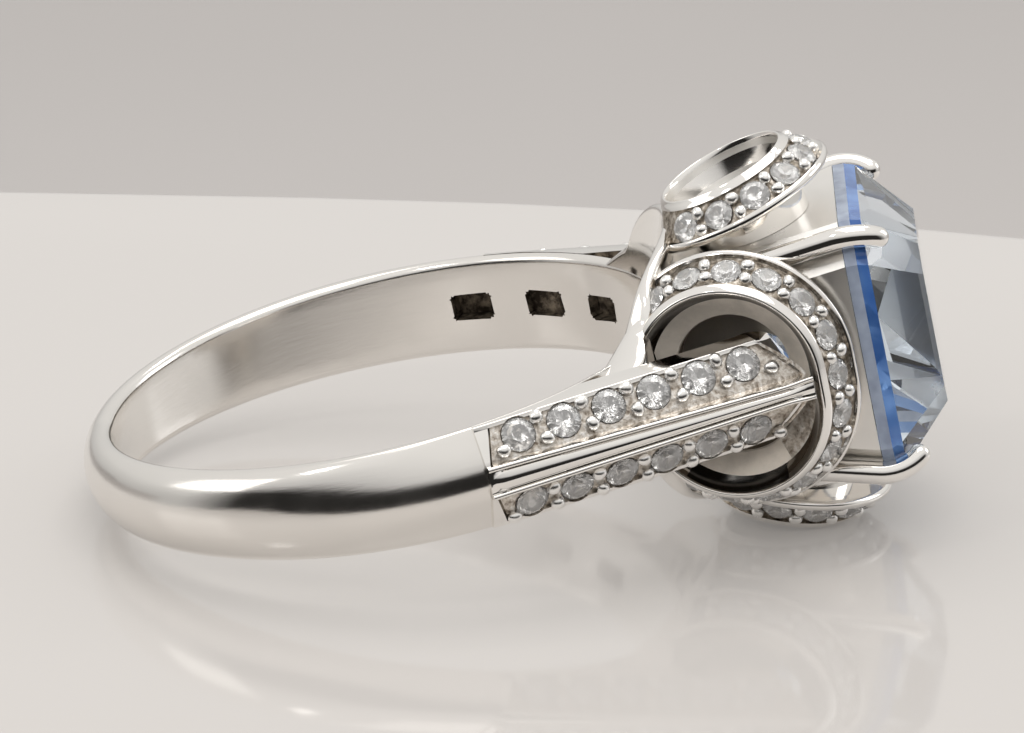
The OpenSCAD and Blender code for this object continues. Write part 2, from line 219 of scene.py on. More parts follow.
POLISH = polished()
RIM = polished("silver_rim", (0.95, 0.925, 0.89), (0.04, 0.1))
CAST = cast("silver_cast", (0.32, (0.26, 0.21, 0.165)), (0.5, (0.68, 0.62, 0.55)), (0.66, (0.95, 0.92, 0.88)))
SEAT = cast("silver_seat", (0.32, (0.17, 0.135, 0.1)), (0.5, (0.44, 0.385, 0.32)), (0.66, (0.85, 0.81, 0.75)))
# the loops' channel floor, darker still than the seats: part tarnish, part painted shade along the stones
CHANNEL = cast(
    "silver_channel", (0.34, (0.11, 0.09, 0.07)), (0.52, (0.40, 0.35, 0.29)), (0.7, (0.86, 0.81, 0.75))
)
BEAD = polished("silver_bead", (0.97, 0.955, 0.93), (0.2, 0.32))
SATIN = satin("silver_satin", (1.0, 0.92, 0.82), 0.12)
DARK = satin("silver_tarnished", (0.26, 0.20, 0.145), 0.5)
WALLS = polished("silver_basket", (0.97, 0.945, 0.905), (0.26, 0.42))
# painted shade: near-black polished silver, laid on parts of the side loops' funnels
SHADE_PAINT = polished("silver_painted_shade", (0.13, 0.125, 0.12), (0.06, 0.14))
BAND = polished("silver_band", (0.89, 0.862, 0.825), (0.1, 0.22), 0.14)
RECESS = recess()
CLEAR = gem("clear_stone", (1.0, 0.995, 0.985), 2.15, 2600, (0.97, 0.965, 0.96), 0.78)
BLUE = gem("blue_stone", (0.90, 0.95, 1.0), 1.66, 220, (0.78, 0.88, 1.0))
# greyer and deeper copies of the blue for the centre stone's girdle and outer crown steps: painted shade in
# one stone
BLUE_GIRDLE = gem("blue_stone_girdle", (0.56, 0.64, 0.78), 1.6, 1500, (0.36, 0.42, 0.56), 0.35, 0.32)
BLUE_STEP = gem("blue_stone_step", (0.16, 0.36, 0.86), 1.6, 700, (0.07, 0.2, 0.62), 0.45, 0.05)


# ---------------------------------------------------------------- mesh tools
def to_mesh(name, verts, faces, mats, face_mats=None, angle=40):
    """An object from points in millimetres; edges sharper than the angle stay sharp."""
    mesh = bpy.data.meshes.new(name)
    mesh.from_pydata([tuple(c * MM for c in v) for v in verts], [], [tuple(f) for f in faces])
    for m in mats:
        mesh.materials.append(m)
    if face_mats is not None:
        mesh.polygons.foreach_set("material_index", face_mats)
    bm = bmesh.new()
    bm.from_mesh(mesh)
    bmesh.ops.remove_doubles(bm, verts=bm.verts, dist=1e-8)
    bmesh.ops.dissolve_degenerate(bm, edges=bm.edges, dist=1e-8)
    bmesh.ops.recalc_face_normals(bm, faces=bm.faces)
    bm.to_mesh(mesh)
    bm.free()
    obj = bpy.data.objects.new(name, mesh)
    bpy.context.scene.collection.objects.link(obj)
    shade(obj, angle)
    return obj


def shade(obj, angle):
    mesh = obj.data
    if angle is None:
        mesh.shade_flat()
    else:
        mesh.shade_smooth()
        mesh.set_sharp_from_angle(angle=math.radians(angle))


def lathe(rows, closed):
    """Verts and faces from equal rows of points, each row a closed ring."""
    n, m = len(rows), len(rows[0])
    verts = [p for r in rows for p in r]
    faces = []
    for i in range(n if closed else n - 1):
        k = (i + 1) % n
        for j in range(m):
            j2 = (j + 1) % m
            faces.append((i * m + j, k * m + j, k * m + j2, i * m + j2))
    if not closed:
        faces.append(tuple(range(m)))
        faces.append(tuple((n - 1) * m + j for j in range(m)))
    return verts, faces


def cut(obj, cutter, angle=40):
    """Takes cutter's volume out of obj, and applies it at once."""
    mod = obj.modifiers.new("cut", "BOOLEAN")
    mod.operation = "DIFFERENCE"
    mod.solver = "EXACT"
    mod.object = cutter
    mod.material_mode = "TRANSFER"
    dg = bpy.context.evaluated_depsgraph_get()
    made = bpy.data.meshes.new_from_object(obj.evaluated_get(dg))
    obj.modifiers.clear()
    old = obj.data
    obj.data = made
    bpy.data.meshes.remove(old)
    shade(obj, angle)


def drop(*objs):
    for o in objs:
        bpy.data.objects.remove(o, do_unlink=True)


def done(obj, name):
    """Hands a finished piece to the frame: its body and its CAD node."""
    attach(obj, "root")
    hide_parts(name)


def joined(name, parts, mats, angle=40):
    """One mesh from several (verts, faces, material index) lists."""
    verts, faces, fm = [], [], []
    for v, f, k in parts:
        base = len(verts)
        verts += list(v)
        faces += [tuple(i + base for i in face) for face in f]
        fm += [k] * len(f)
    return to_mesh(name, verts, faces, mats, fm, angle)


# ---------------------------------------------------------------- frames
def frame_of(o, x, y, z):
    """Matrix of a frame from its origin and its three axes."""
    return Matrix([(x[i], y[i], z[i], o[i]) for i in range(3)] + [(0, 0, 0, 1)])


def shoulder_matrix(side):
    """X along the shoulder from the band to the head, Y outwards, Z along the finger hole."""
    a = math.radians(SHOULDER_A)
    s = -1 if side == "near" else 1
    x = Vector((math.sin(a), -math.cos(a) * s, 0))
    y = Vector((math.cos(a), math.sin(a) * s, 0))
    return frame_of(y * OUTER_R, x, y, Vector((0, 0, 1)))


def row_matrix(side, up):
    """X along the row, Z out of the panel."""
    s = 1 if up else -1
    n = Vector((0, math.cos(math.atan(ROOF)), s * math.sin(math.atan(ROOF))))
    x = Vector((1, 0, 0))
    y = n.cross(x)
    dive = Matrix.Rotation(-DIVE, 4, "Z")
    o = Vector((0, -0.12 - (ROW_Z - SPINE_HW[0]) * ROOF, s * ROW_Z))
    return shoulder_matrix(side) @ dive @ frame_of(o, x, y, n)


def loop_matrix(name):
    """Z out of the loop's dish, X towards the stone; the far and lower loops are mirrored."""
    p = LOOPS[name]
    t = math.radians(p["tilt"])
    c, s = math.cos(t), math.sin(t)
    if name in ("near", "far"):
        m = frame_of(p["c"], (c, -s, 0), (0, 0, 1), (-s, -c, 0))
        return Matrix.Diagonal((1, -1, 1, 1)) @ m if name == "far" else m
    m = frame_of(p["c"], (c, 0, s), (0, 1, 0), (-s, 0, c))
    return Matrix.Diagonal((1, 1, -1, 1)) @ m if name == "lower" else m


def put(matrix, pts):
    """Points moved by a matrix."""
    return [matrix @ Vector(p) for p in pts]


def both_sides(half):
    """A whole outline from its +Z half."""
    return half + [(y, -z) for y, z in reversed(half)]


def arc(cx, cz, r, start, end, steps):
    """Points of an arc between two angles in degrees."""
    turns = [math.radians(start + (end - start) * i / steps) for i in range(steps + 1)]
    return [(cx + r * math.cos(t), cz + r * math.sin(t)) for t in turns]


def square(h, c):
    """Corners of a square of half width h whose own corners are cut off by c."""
    k = h - c
    return [(h, -k), (h, k), (k, h), (-k, h), (-h, k), (-h, -k), (-k, -h), (k, -h)]


def wobble(x, y):
    """The small tilt of one stone in its seat."""
    return Matrix.Rotation(x, 4, "X") @ Matrix.Rotation(y, 4, "Y")


def circle(r, count, step=0.0):
    """Points of a circle, turned by a part of their spacing."""
    turns = [2 * PI * (k + step) / count for k in range(count)]
    return [(r * math.cos(t), r * math.sin(t)) for t in turns]


# ---------------------------------------------------------------- cut stones
def brilliant(r, turn=0.0):
    """Round brilliant: table, stars, kites and halves over a faceted pavilion."""
    v, f = [], []

    def ring(radius, z, start, count):
        base = len(v)
        for k in range(count):
            a = turn + start + 2 * PI * k / count
            v.append((radius * r * math.cos(a), radius * r * math.sin(a), z * r))
        return base

    e = PI / 8
    table = ring(0.55, 0.34, 0, 8)
    mid = ring(0.79, 0.19, e, 8)
    top = ring(1.0, 0.03, 0, 16)
    low = ring(1.0, -0.04, 0, 16)
    pav = ring(0.24, -0.66, e, 8)
    culet = ring(0.0, -0.84, 0, 1)
    f.append(tuple(table + k for k in range(8)))
    for k in range(8):
        n = (k + 1) % 8
        g0, g1, g2 = 2 * k, 2 * k + 1, (2 * k + 2) % 16
        f.append((table + k, mid + k, table + n))
        f.append((table + k, mid + (k - 1) % 8, top + g0, mid + k))
        f.append((mid + k, top + g0, top + g1))
        f.append((mid + k, top + g1, top + g2))
        for a, b in ((g0, g1), (g1, g2)):
            f.append((top + a, low + a, low + b, top + b))
        f.append((pav + k, low + g1, low + g0))
        f.append((pav + k, low + g2, low + g1))
        f.append((culet, pav + k, low + g0, pav + (k - 1) % 8))
    return v, f


def bead(r, seed):
    """A pushed-up grain of metal: a slightly lopsided dome on a waisted foot."""
    rows = []
    for step in [-4, -2] + list(range(0, 12)):
        t = math.radians(7.6 * max(step, 0))
        z, w = (math.sin(t), math.cos(t)) if step >= 0 else (0.12 * step, 0.96)
        row = []
        for k in range(18):
            a = 2 * PI * k / 18
            wob = 1 + 0.07 * math.sin(2 * a + seed * 1.7) + 0.04 * math.sin(3 * a + seed * 2.9)
            row.append((r * w * wob * math.cos(a), r * w * wob * math.sin(a), r * z * 0.9))
        rows.append(row)
    return lathe(rows, False)


def seat(r, depth=0.95):
    """Cutter for one stone seat: a short cylinder over a cone."""
    levels = ((1.6, 1.03), (-0.02, 1.03), (-0.12, 0.97), (-depth, 0.3))
    return lathe([[(x, y, r * z) for x, y in circle(r * w, 24)] for z, w in levels], False)


# ---------------------------------------------------------------- band
def band_hw(a):
    """Half width of the band at an angle from the head."""
    return 1.12 + 0.58 * math.cos(math.radians(a) / 2)


def ridge(z):
    """Fall of the rounded roof that the shoulders and the band beside them share."""
    return ROOF * (math.hypot(z, 0.42) - 0.42)


def band_row(deg):
    """Section at an angle from the head: half round, squaring up where the shoulders begin."""
    a = abs(deg)
    hw = band_hw(a)
    w = 1 - sstep(71, 125, a)
    power = 2 + 2.2 * w
    edge, height = BAND_EDGE, BAND_HEIGHT
    if a < SHOULDER_A - 0.1:
        # thinner where the shoulders cover it
        height = 0.25 + 0.54 * (1 - sstep(34, 42, a))
    pts = []
    for i in range(9):
        t = PI / 2 * i / 8
        pts.append((BORE_R + edge * (1 - math.cos(t)), -(hw - edge + edge * math.sin(t))))
    m = 40
    for i in range(1, m):
        t = -PI / 2 + PI * i / m
        s, c = math.sin(t), math.cos(t)
        u = math.copysign(abs(s) ** (2 / power), s)
        fall = ridge(u * hw) * w * (height / BAND_HEIGHT)
        pts.append((BORE_R + edge + max(0.02, height - fall) * c ** (2 / power), hw * u))
    for i in range(9):
        t = PI / 2 * (8 - i) / 8
        pts.append((BORE_R + edge * (1 - math.cos(t)), hw - edge + edge * math.sin(t)))
    for i in range(1, 6):
        pts.append((BORE_R, (hw - edge) * (1 - i / 3)))
    r = math.radians(deg)
    return [(p * math.cos(r), p * math.sin(r), z) for p, z in pts]


def rounded_box(lx, ly, lz, r, seed, steps=6):
    """A box whose four edges along X are rounded, filed by hand and so a little uneven."""
    outline = []
    for cx, cz, start in ((1, 1, 0), (-1, 1, 90), (-1, -1, 180), (1, -1, 270)):
        for i in range(steps + 1):
            a = math.radians(start + 90 * i / steps)
            rr = r + 0.035 * math.sin(2.3 * len(outline) + seed)
            outline.append((cx * (ly / 2 - r) + rr * math.cos(a), cz * (lz / 2 - r) + rr * math.sin(a)))
    return [[(x, y, z) for y, z in outline] for x in (-lx / 2, lx / 2)]


steps = [-180 + 1.25 * i for i in range(288)]
starts = [s * (SHOULDER_A + v) for s in (-1, 1) for v in (-0.15, -0.05)]
angles = sorted(set(steps + starts))
verts, faces = lathe([band_row(a) for a in angles], True)
band = to_mesh("band", verts, faces, [BAND, RECESS], angle=48)
holes = []
for s in (-1, 1):
    for deg, k in WINDOW_ANGLES:
        v, f = lathe(rounded_box(1.3, 1.4 * k, 0.85, 0.16, deg), False)
        turn = Matrix.Rotation(math.radians(s * deg), 4, "Z") @ Matrix.Translation((BORE_R + 0.05, 0, 0))
        holes.append((put(turn, v), f, 1))
v, f = lathe([[(x, y, z) for y, z in circle(LIGHT_HOLE_R, 64, 0.5)] for x in (8, 10.5)], False)
holes.append((v, f, 0))
cutter = joined("cutter", holes, [BAND, RECESS])
cut(band, cutter, 48)
drop(cutter)
done(band, "band")


# ---------------------------------------------------------------- shoulders
def spine_hw(x):
    """Half width of the spine, which narrows towards the head."""
    return SPINE_HW[0] + (SPINE_HW[1] - SPINE_HW[0]) * x / SHOULDER_LEN


def shoulder_row(x, sunk):
    """Section of a shoulder bar in its own (y, z): flanks, lips and the panel floor."""
    hw = SHOULDER_HW
    floor_r, lowest, edge_r = 8.95, -1.55, 0.05
    reach = floor_r**2 - x * x
    bottom = max(lowest, math.sqrt(reach) - OUTER_R) if reach > 0 else lowest
    a = SHOULDER_A - math.degrees(math.atan2(x, OUTER_R))
    low_hw = min(hw + 0.06, band_hw(max(a, 20)) + 0.008)
    spine = spine_hw(x) - 0.05
    dive = math.tan(DIVE) * x
    edge_y = -(hw - SPINE_HW[0]) * ROOF - dive
    half = [(bottom, low_hw), (bottom * 0.5 + edge_y * 0.5 - 0.05, low_hw * 0.6 + hw * 0.4)]
    half += [(y, z) for z, y in arc(hw - edge_r, edge_y - edge_r, edge_r, 0, 90, 4)]
    inner = hw - LIP
    inner_y = edge_y + LIP * ROOF * 0.5
    half.append((inner_y, inner))
    depth = PANEL_DEPTH if sunk else 0.0
    half.append((inner_y - depth, inner - 0.01))
    m = 6
    for i in range(1, m + 1):
        z = inner - 0.01 + (spine - inner + 0.01) * i / m
        half.append((-(z - SPINE_HW[0]) * ROOF - depth - dive, z))
    half.append((-depth - dive - (spine - SPINE_HW[0]) * ROOF * 0.2, spine * 0.5))
    return half


def along(x, z):
    """Slants the panel's start, and cuts the corners of the far end back past the last stones."""
    start = 0.3 * max(0.0, z - 0.45) * sstep(0, 0.12, x) * (1 - sstep(0.15, 2.4, x))
    end = 1.2 * max(0.0, (z - 0.35) / 1.25) ** 1.3 * sstep(SHOULDER_LEN - 2.2, SHOULDER_LEN, x)
    return x + start - end


def shoulder_bar(side):
    """The bar under the stones. Its finger side is the dark floor of the band's windows."""
    m = shoulder_matrix(side)
    start, end, wall = LIP, SHOULDER_LEN - 0.14, 0.01
    xs = [0.0, start, start + wall, 0.22] + [0.35 + 0.2 * i for i in range(49)]
    xs += [10.1, end - wall, end, SHOULDER_LEN]
    rows = []
    for x in xs:
        half = shoulder_row(x, start < x < end)
        rows.append(put(m, [(along(x, abs(z)), y, z) for y, z in both_sides(half)]))
    verts, faces = lathe(rows, False)
    count = len(rows[0])
    mats = []
    for f in faces[:-2]:
        j = f[0] % count
        jj = min(j, count - 2 - j)
        x = xs[f[0] // count]
        finger_side = jj == -1
        panel = 8 <= jj < 17 and x > start
        # the panel floor's first strip, under the lip, takes the dark recess metal: a painted shadow
        painted_shadow = panel and x < 0.2
        mats.append(2 if finger_side or painted_shadow else 1 if panel else 0)
    mats += [0, 0]
    bar = to_mesh("shoulder_" + side, verts, faces, [POLISH, CAST, RECESS], mats, 35)
    seats = []
    for up in (False, True):
        rm = row_matrix(side, up)
        for i in range(ROWS):
            v, f = seat(STONE_R * 0.97)
            seats.append((put(rm @ Matrix.Translation((ROW_START + PITCH * i, 0, 0)), v), f, 0))
    cutter = joined("cutter", seats, [SEAT])
    cut(bar, cutter, 35)
    drop(cutter)
    done(bar, "shoulder_" + side)


def stone_rows(side):
    """Both rows of stones on one shoulder, with two beads between neighbours and one at each end."""
    for row, up in (("top", True), ("bottom", False)):
        m = row_matrix(side, up)
        stones, beads = [], []
        for i in range(ROWS):
            tilt = wobble(0.05 * math.sin(5.1 * i + (2 if up else 0)), 0.05 * math.cos(3.7 * i))
            v, f = brilliant(STONE_R * 0.96, 0.9 * i + (0.3 if up else 0))
            stones.append((put(m @ Matrix.Translation((ROW_START + PITCH * i, 0, 0.02)) @ tilt, v), f, 0))
        for i in range(ROWS + 1):
            for s in (1,) if i in (0, ROWS) else (-1, 1):
                v, f = bead(ROW_BEAD_R, i * 3 + s)
                x = ROW_START + PITCH * (i - 0.5) + s * 0.06 + (0.06 if i == 0 else 0)
                beads.append((put(m @ Matrix.Translation((x, s * 0.35, 0.08)), v), f, 0))
        name = f"_{side}_{row}"
        done(joined("row_stones" + name, stones, [CLEAR], None), "row_stones" + name)
        done(joined("row_beads" + name, beads, [BEAD], 60), "row_beads" + name)


def spine_row(x):
    """Two rounded rails with a central rib between two thin grooves; they run into the loop's rim."""
    fan = sstep(9.4, SHOULDER_LEN, x)
    h = spine_hw(x) + 0.06 * fan
    rise = 0.22
    rail = 0.17 * (1 - 0.2 * x / SHOULDER_LEN)
    groove = 0.13 * (1 - fan)
    half = [(-0.62, h * 0.96), (0.0, h)]
    half += [(y, z) for z, y in arc(h - rail / 2, rise - rail / 2, rail / 2, 0, 180, 8)]
    half[-1] = (rise - rail * 0.45, h - rail)
    half.append((rise - groove, h - rail - 0.015))
    half.append((rise - groove, h - rail - 0.04))
    tip = sstep(0.0, 0.45, x)
    edge = (h - rail - 0.055) * (0.35 + 0.65 * tip)
    dome = 0.1 * (1 - fan * 0.6) * tip
    for k in (1, 0.85, 0.5, 0.15):
        half.append((rise - 0.08 + dome * (1 - k**1.6), edge * k))
    return [(x, y, z) for y, z in both_sides(half)]


def spine(side):
    """The rails between the two rows of stones."""
    m = shoulder_matrix(side)
    xs = [0.0, 0.03, 0.1] + [0.2 + 0.203 * i for i in range(51)]
    rows = [put(m, spine_row(x)) for x in xs if x <= SHOULDER_LEN + 0.01]
    verts, faces = lathe(rows, False)
    done(to_mesh("spine_" + side, verts, faces, [RIM], angle=42), "spine_" + side)


for side in ("near", "far"):
    shoulder_bar(side)
    stone_rows(side)
    spine(side)


# ---------------------------------------------------------------- loops
def cone_r(p, z):
    """Radius of a loop's stone band at a height above its back rim."""
    return p["front"] + (p["back"] - p["front"]) * (p["depth"] - z) / p["depth"]


def around(p, outline, count=128):
    """Sweeps an (r, z) outline round a loop, with straight stretches if it has them."""
    rows = []
    half = p["half"]
    for i in range(count):
        a = 2 * PI * i / count
        stops = [half * math.copysign(1, math.sin(a + 1e-9))]
        if half and i in (0, count // 2):
            s = 1 if i == 0 else -1
            stops = [-s * half, 0, s * half]
        if not half:
            stops = [0]
        for y in stops:
            rows.append([(r * math.cos(a), r * math.sin(a) + y, z) for r, z in outline])
    return lathe(rows, True)


def on_cone(p, s):
    """Frame on the stone band: Z out of it, X towards the back rim."""
    mid_z = p["depth"] / 2
    mid_r = cone_r(p, mid_z)
    half = p["half"]
    turn = math.copysign((abs(s) - half) / mid_r, s) if abs(s) > half else 0
    shift = math.copysign(half, s) if abs(s) > half else s
    lean = math.atan2(p["depth"], p["back"] - p["front"])
    return (
        Matrix.Translation((mid_r * math.cos(turn), mid_r * math.sin(turn) + shift, mid_z))
        @ Matrix.Rotation(turn, 4, "Z")
        @ Matrix.Rotation(lean, 4, "Y")
        @ Matrix.Translation((0, 0, -0.1))
    )


def basket_block():
    """The basket's outside, as a cutter for the loops."""
    ends = ((BASKET_FOOT_X, BASKET_FOOT_HW), (BASKET_TOP_X, STONE_HW))
    rows = [[(x, y, z) for y, z in square(h + 0.01, STONE_CUT)] for x, h in ends]
    v, f = lathe(rows, False)
    return to_mesh("basket_cutter", v, f, [SATIN])


def bore_plug(r):
    """Keeps the loops off the finger side of the gallery plate."""
    v, f = lathe([[(x, y, z) for x, y in circle(r, 96, 0.5)] for z in (-9, 9)], False)
    return to_mesh("bore_cutter", v, f, [SATIN])


def turn_of(vert):
    """Angle of a point round its loop's axis, 0 towards the stone."""
    return math.degrees(math.atan2(vert[1], vert[0]))


def front_rim(name, p, h):
    """Rounded lip and the funnel inside it; on the side loops parts of the funnel are painted near black, a
    painted shade.
    """
    d, front, throat, dish, lip = p["depth"], p["front"], p["throat"], p["dish"], p["lip"]
    side = p is SIDE_LOOP
    outline = [(cone_r(p, d - h), d - h), (cone_r(p, d - h * 0.45) + 0.01, d - h * 0.45)]
    outline += arc(front - lip, d - lip, lip, 20, 150, 7)
    steps = 12
    start, start_z = front - 1.9 * lip, d - 0.6 * lip
    for i in range(1, steps + 1):
        t = i / steps
        bulge = (0.03 if side else 0.05) * math.sin(PI * t)
        outline.append((start - (start - throat) * t + bulge, start_z - (dish - 0.6 * lip) * t))
    outline += [(throat + 0.1, d - dish), (front - 0.11, d - h - 0.02)]
    v, f = around(p, outline)
    mats = []
    for face in f:
        turn = turn_of(v[face[0]])
        inside = 10 <= face[0] % len(outline) < 9 + steps
        # funnel faces at these turns on the side loops take the near-black polish: painted shade
        in_painted_shade = turn > -4 or turn < -172 or -128 < turn < -66
        mats.append(0 if not inside else 2 if not side else 1 if in_painted_shade else 0)
    return to_mesh("front_rim_" + name, put(loop_matrix(name), v), f, [RIM, SHADE_PAINT, WALLS], mats, 40)


def back_rim(name, p, h):
    """A round wire along the wide edge."""
    wire_r = 0.16
    outline = [(cone_r(p, h) - 0.3, h - 0.02), (cone_r(p, h) - 0.02, h)]
    outline += arc(p["back"] - wire_r, 0.13, wire_r, 62, -100, 9)
    outline += [(p["back"] - 0.45, -0.03), (p["back"] - 0.5, 0.1)]
    v, f = around(p, outline)
    return to_mesh("back_rim_" + name, put(loop_matrix(name), v), f, [RIM], angle=40)


def loop_shell(name, p, h, sink):
    """Sunk channel for the stones, the dish's inner wall, and the tube to the basket."""
    d, front, back, throat, tube = p["depth"], p["front"], p["back"], p["throat"], p["tube"]
    side = p is SIDE_LOOP
    floor_z = d - p["dish"]
    body = [(tube, -p["tube_len"]), (tube + 0.45, -p["tube_len"])]
    body += [(throat + 0.45, -0.02), (back - 0.45, -0.02), (back - 0.42, h)]
    body += [(cone_r(p, z) - sink, z) for z in (h, h + 0.3, d / 2, d - h - 0.2, d - h)]
    body += [(front - 0.13, d - h - 0.03), (throat + 0.08, floor_z + 0.02)]
    if side:
        body += [(throat, floor_z), (throat * 0.55 + tube * 0.45 + 0.05, floor_z - 0.17)]
        body += [(tube + 0.03, floor_z - 0.36), (tube, floor_z - 0.46)]
    else:
        body += [(throat, floor_z), (throat - 0.05, floor_z - 0.2)]
        body += [(tube + 0.02, floor_z - 0.5), (tube, floor_z - 0.6)]
    v, f = around(p, body)
    n = len(body)
    mats = []
    for face in f:
        j = face[0] % n
        # on the side loops the inner cone's faces turned between -62 and -5 degrees take the bright cast
        # finish: a painted highlight
        painted_highlight = side and n - 4 <= j < n - 1 and -62 < turn_of(v[face[0]]) < -5
        mats.append(1 if 5 <= j <= 8 else 3 if painted_highlight else 2 if j in (0, n - 1) else 0)
    base = SATIN if side else POLISH
    return to_mesh("loop_" + name, put(loop_matrix(name), v), f, [base, CHANNEL, DARK, CAST], mats, 40)


def make_loop(name):
    """One looped ribbon: two rims, the channel between them, and its stones and beads."""
    p = LOOPS[name]
    slant = math.hypot(p["depth"], p["back"] - p["front"]) / p["depth"]
    h = RIM_W / slant
    rim = front_rim(name, p, h)
    wire = back_rim(name, p, h)
    shell = loop_shell(name, p, h, CHANNEL_DEPTH * slant)
    lm = loop_matrix(name)
    seats, stones, beads = [], [], []
    for i in range(p["n"]):
        m = lm @ on_cone(p, (i - (p["n"] - 1) / 2) * LOOP_PITCH)
        v, f = seat(LOOP_STONE_R * 0.97, 0.8)
        seats.append((put(m, v), f, 0))
        tilt = wobble(0.06 * math.sin(4.3 * i + len(name)), 0.06 * math.cos(2.9 * i))
        v, f = brilliant(LOOP_STONE_R * 0.95, 1.1 * i)
        stones.append((put(m @ Matrix.Translation((0, 0, 0.02)) @ tilt, v), f, 0))
    for i in range(1, p["n"]):
        m = lm @ on_cone(p, (i - p["n"] / 2) * LOOP_PITCH)
        for s in (-1, 1):
            v, f = bead(LOOP_BEAD_R, i * 2 + s)
            beads.append((put(m @ Matrix.Translation((s * 0.27, 0.03 * s, 0.07)), v), f, 0))
    cutter = joined("cutter", seats, [SEAT])
    cut(shell, cutter)
    drop(cutter)
    for o in (shell, rim, wire):
        cut(o, basket_cutter)
        cut(o, bore_cutter)
    done(shell, "loop_" + name)
    done(rim, "front_rim_" + name)
    done(wire, "back_rim_" + name)
    done(joined("loop_stones_" + name, stones, [CLEAR], None), "loop_stones_" + name)
    done(joined("loop_beads_" + name, beads, [BEAD], 60), "loop_beads_" + name)


basket_cutter = basket_block()
bore_cutter = bore_plug(BORE_R + 0.7)
for name in LOOPS:
    make_loop(name)
drop(basket_cutter, bore_cutter)


# ---------------------------------------------------------------- centre stone
def centre_stone():
    """Square stone with cut corners: stepped crown, brilliant pavilion."""
    v, f = [], []
    # height above the girdle's lower edge, half width, cut corner: table, step, and the girdle's two edges
    levels = ((2.22, TABLE_HW, 0.75), (0.68, STONE_HW - 0.1, STONE_CUT))
    levels += ((0.35, STONE_HW, STONE_CUT), (0.0, STONE_HW, STONE_CUT))
    for x, h, c in levels:
        v += [(GIRDLE_X + x, y, z) for y, z in square(h, c)]
    f.append(tuple(range(8)))
    for a in (0, 8, 16):
        for k in range(8):
            n = (k + 1) % 8
            f.append((a + k, a + 8 + k, a + 8 + n, a + n))
    g, base = 24, len(v)
    for k in range(8):
        p, q = Vector(v[g + k]), Vector(v[g + (k + 1) % 8])
        mid = (p + q) / 2
        s = 0.52 if k % 2 == 0 else 0.6
        v.append((GIRDLE_X - 1.55, mid.y * s, mid.z * s))
    tip = len(v)
    v.append((GIRDLE_X - 2.85, 0, 0))
    for k in range(8):
        n = (k + 1) % 8
        f.append((g + k, base + k, g + n))
        f.append((g + n, base + k, tip, base + n))
    # the girdle and the outer crown steps take the darker copies of the blue: painted shade
    mats = [0] * 9 + [2] * 8 + [1] * 8 + [0] * (len(f) - 25)
    return to_mesh("centre_stone", v, f, [BLUE, BLUE_GIRDLE, BLUE_STEP], mats, angle=None)


done(centre_stone(), "centre_stone")


# ---------------------------------------------------------------- prongs
def prong(turn, name):
    """Claw wire: straight up the basket's corner, bent over the crown, a little flattened on top."""
    corner_foot, corner_top = ((2 * h - STONE_CUT) / math.sqrt(2) for h in (BASKET_FOOT_HW, STONE_HW))
    lean = math.atan2(corner_top - corner_foot, BASKET_TOP_X - BASKET_FOOT_X)
    r = PRONG_R
    bend = Vector((PRONG_BEND_X, corner_top + r + 0.02))
    foot = bend - Vector((math.cos(lean), math.sin(lean))) * ((bend.x - (BORE_R + 3)) / math.cos(lean))
    centre = bend + PRONG_BEND_R * Vector((math.sin(lean), -math.cos(lean)))
    path = [foot.lerp(bend, i / 10) for i in range(10)]
    for i in range(15):
        a = lean + (math.radians(-45) - lean) * i / 14
        path.append(centre + PRONG_BEND_R * Vector((-math.sin(a), math.cos(a))))
    rows = []
    for i, p in enumerate(path):
        q = path[min(i + 1, len(path) - 1)] - path[max(i - 1, 0)]
        q.normalize()
        rows.append((p, q, 1.0 - 0.04 * sstep(10, 24, i)))
    last, q, _ = rows[-1]
    for i in range(1, 7):
        a = PI / 2 * i / 6
        rows.append((last + q * (0.33 * math.sin(a)), q, 0.96 * max(0.03, math.cos(a))))
    made = []
    rot = Matrix.Rotation(math.radians(turn), 4, "X")
    for p, q, w in rows:
        side = Vector((-q.y, q.x))
        ring = []
        for k in range(28):
            b = 2 * PI * k / 28
            u = side * (r * w * math.cos(b))
            ring.append(rot @ Vector((p.x + u.x, p.y + u.y, r * w * math.sin(b))))
        made.append(ring)
    v, f = lathe(made, False)
    done(to_mesh(name, v, f, [RIM], angle=50), name)


prong(135, "prong_upper_near")
prong(45, "prong_upper_far")
prong(225, "prong_lower_near")
prong(315, "prong_lower_far")


# ---------------------------------------------------------------- gallery
def gallery_top(a):
    """Height of the plate's edge at an angle from the head; it sinks into the band's edge at both ends."""
    a = abs(a)
    arch = 3.0 * max(0.0, 1 - min(1.0, a / 28) ** 2.6) ** (1 / 2.6)
    foot = 1.15 * (1 - sstep(25, 45, a))
    return 1.25 + (arch**4 + foot**4) ** 0.25


def gallery_row(deg, up):
    """Section of the plate: its finger side goes on from the finger hole's wall and flares outwards."""
    top = max(1.15, gallery_top(deg) - 0.2)
    inner, outer = [], []
    for k in range(11):
        z = 1.1 + (top - 1.1) * k / 10
        r = BORE_R + 0.012 + 0.62 * (max(0.0, z - 1.35) / 2.8) ** 1.3
        # a thin web over the head, and feet that reach out to the shoulders' lower face
        under = 8.15 / math.cos(math.radians(SHOULDER_A - min(abs(deg), 50))) + 0.15 - r
        web = 0.4 + 0.32 * sstep(20, 27, abs(deg)) * (1 - sstep(2.7, 3.5, z))
        foot = min(1.25, max(0.22, under))
        wide = web + (foot - web) * sstep(28, 34, abs(deg)) * (1 - sstep(1.9, 2.8, z))
        inner.append((r, z))
        outer.append((r + wide, z))
    r, half = (inner[-1][0] + outer[-1][0]) / 2, (outer[-1][0] - inner[-1][0]) / 2
    turns = [PI * i / 12 for i in range(1, 12)]
    crown = [(r - half * math.cos(t), top + 0.2 * math.sin(t) ** 0.8) for t in turns]
    t = math.radians(deg)
    return [(q * math.cos(t), q * math.sin(t), z * up) for q, z in inner + crown + outer[::-1]]


